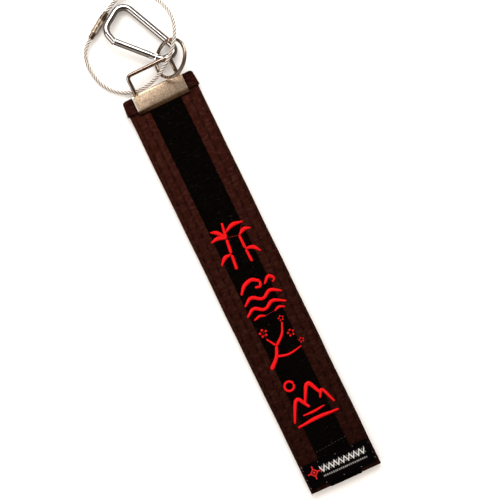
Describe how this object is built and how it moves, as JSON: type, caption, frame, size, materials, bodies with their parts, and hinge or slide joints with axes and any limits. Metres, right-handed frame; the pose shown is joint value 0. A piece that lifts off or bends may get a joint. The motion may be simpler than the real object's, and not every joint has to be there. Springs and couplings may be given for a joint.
{
  "type": "belt key fob",
  "caption": "Short length of stitched belt webbing with an embroidered stripe, ending in a metal clamp and wire loop that carry a split ring, a small snap clip and a looped cable ring.",
  "frame": {"origin": "middle of the belt's length and width, on the plane that the belt's back rests on", "axes": "+Z off the belt's embroidered face, +Y along the belt towards the clamp, +X to the right when the face is seen with the clamp at the top"},
  "size_m": [0.0589, 0.3156, 0.0187],
  "materials": {
    "core_batting": "layered cotton batting",
    "brown_cloth": "ribbed dark brown cotton",
    "black_ribbon": "black cotton ribbon",
    "sewing_thread": "spun polyester thread",
    "woven_label": "damask woven polyester",
    "red_embroidery": "rayon satin stitch with a sheen",
    "binding_cloth": "folded dark cloth",
    "satin_nickel": "fine blasted satin nickel plate",
    "polished_wire": "polished nickel plate",
    "ring_steel": "polished spring steel, nickel plated",
    "clip_aluminium": "polished aluminium",
    "pin_steel": "plain steel",
    "cable_steel": "stranded steel under clear plastic",
    "barrel_steel": "nickel plated, knurled"
  },
  "bodies": {
    "strap": {"belt_core": "core_batting", "belt_cover": "brown_cloth", "black_stripe": "black_ribbon", "needle_threads": "sewing_thread", "bobbin_threads": "sewing_thread", "label": "woven_label", "motif_1": "red_embroidery", "motif_2": "red_embroidery", "motif_3": "red_embroidery", "motif_4": "red_embroidery", "end_binding": "binding_cloth", "clamp_shell": "satin_nickel"},
    "loop": {"wire_loop": "polished_wire"},
    "key_ring": {"split_ring": "ring_steel"},
    "carabiner": {"carabiner_body": "clip_aluminium"},
    "gate": {"gate": "clip_aluminium", "gate_rivet": "pin_steel", "latch_pin": "pin_steel", "gate_spring": "pin_steel"},
    "follower": {"gate_follower": "pin_steel"},
    "cable_ring": {"cable": "cable_steel", "ferrule_a": "barrel_steel", "ferrule_b": "barrel_steel"},
    "barrel": {"barrel_nut": "barrel_steel"}
  },
  "joints": [
    {"name": "loop_hinge", "type": "hinge", "parent": "strap", "child": "loop", "pos_m": [0.0004, 0.1269, 0.0032], "axis": [1, 0, 0], "range_deg": [-18, 7]},
    {"name": "ring_swing", "type": "hinge", "parent": "loop", "child": "key_ring", "pos_m": [0.0004, 0.14053, 0.00816], "axis": [1, 0, 0], "range_deg": [-3, 10]},
    {"name": "clip_swing", "type": "hinge", "parent": "key_ring", "child": "carabiner", "pos_m": [0.0173, 0.1502, 0.0044], "axis": [0.8377, 0.5284, 0.1381], "range_deg": [0, 12]},
    {"name": "gate_hinge", "type": "hinge", "parent": "carabiner", "child": "gate", "pos_m": [0.00561, 0.14543, 0.00513], "axis": [-0.2085, -0.0972, -0.9732], "range_deg": [0, 25], "stiffness_Nm_per_rad": 0.01, "springref_deg": -20.05},
    {"name": "follower_slide", "type": "slide", "parent": "gate", "child": "follower", "axis": [-0.6916, 0.7182, 0.0764], "range_m": [0, 0.0006], "deforming": ["gate_spring"]},
    {"name": "cable_swing", "type": "hinge", "parent": "loop", "child": "cable_ring", "pos_m": [-0.0133, 0.1313, 0.00465], "axis": [0, -1, 0], "range_deg": [0, 15]},
    {"name": "nut_spin", "type": "hinge", "parent": "cable_ring", "child": "barrel", "pos_m": [-0.01609, 0.17536, 0.00265], "axis": [0.8387, 0.5446, 0], "continuous": true}
  ],
  "couplings": [
    {"joint": "follower_slide", "follows": "gate_hinge", "m_per_rad": 0.0012}
  ]
}
